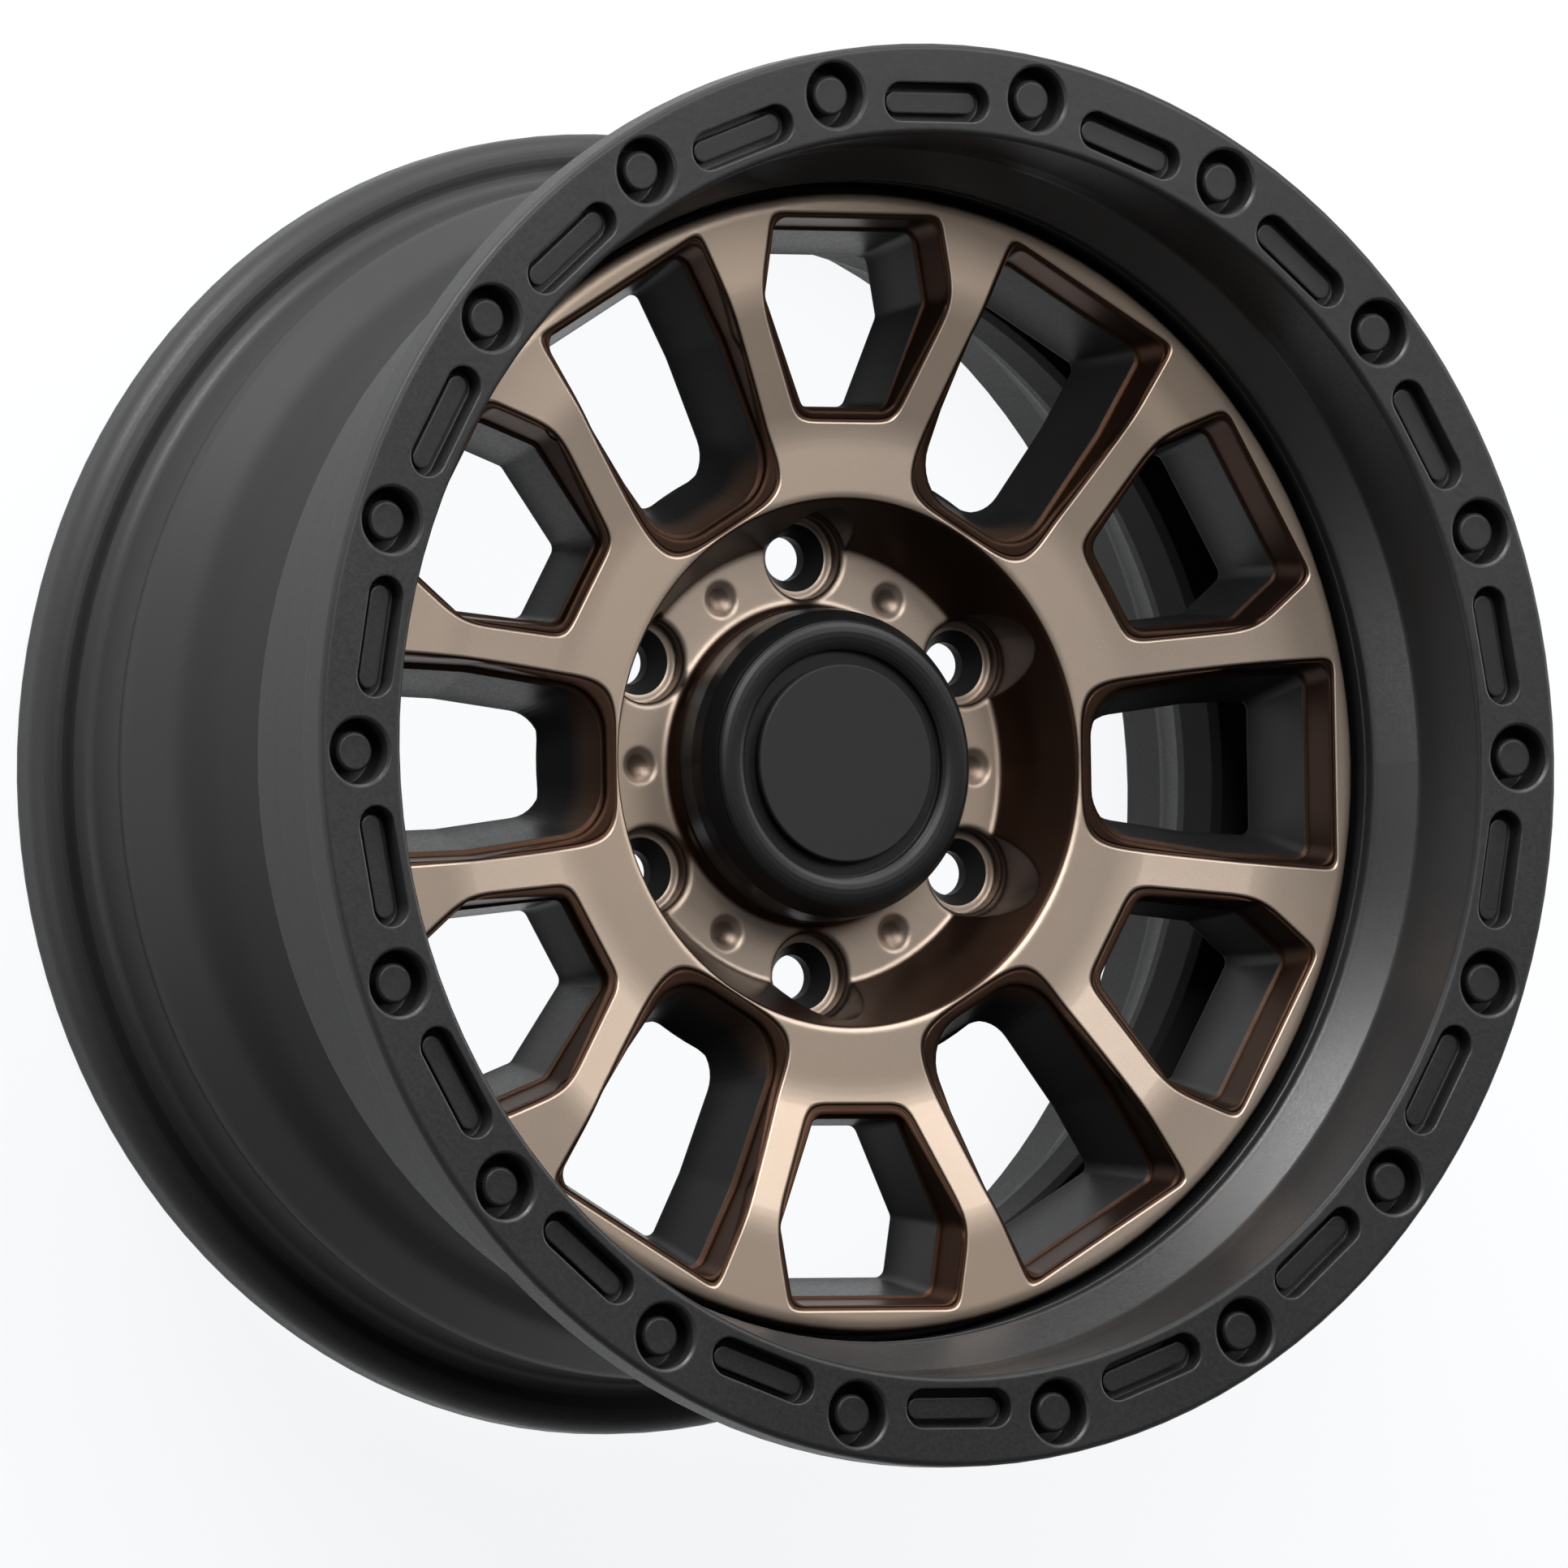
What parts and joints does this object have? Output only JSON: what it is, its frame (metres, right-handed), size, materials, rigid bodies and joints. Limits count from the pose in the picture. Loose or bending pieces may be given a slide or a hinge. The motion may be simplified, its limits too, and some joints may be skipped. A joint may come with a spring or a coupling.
{
  "type": "alloy wheel",
  "caption": "One-piece cast alloy wheel with a deep dish, a cast-in bead ring with pockets and slots, a spoke disc with windows, a drop-centre rim and a clipped centre cap.",
  "frame": {"origin": "on the wheel's axis, in the plane of the rear flange that the wheel lies on", "axes": "+Z along the axis towards the street face, +X and +Y through the middle of a long and of a six-sided window"},
  "size_m": [0.47, 0.47, 0.244],
  "materials": {
    "bronze_paint": "satin metallic bronze on the disc, satin black on the rim",
    "cap_plastic": "satin",
    "disc_plastic": "satin",
    "spring_steel": "bright drawn wire"
  },
  "bodies": {
    "root": {"wheel_casting": "bronze_paint", "centre_cap": "cap_plastic", "cap_disc": "disc_plastic", "cap_spring_ring": "spring_steel"}
  },
  "joints": []
}
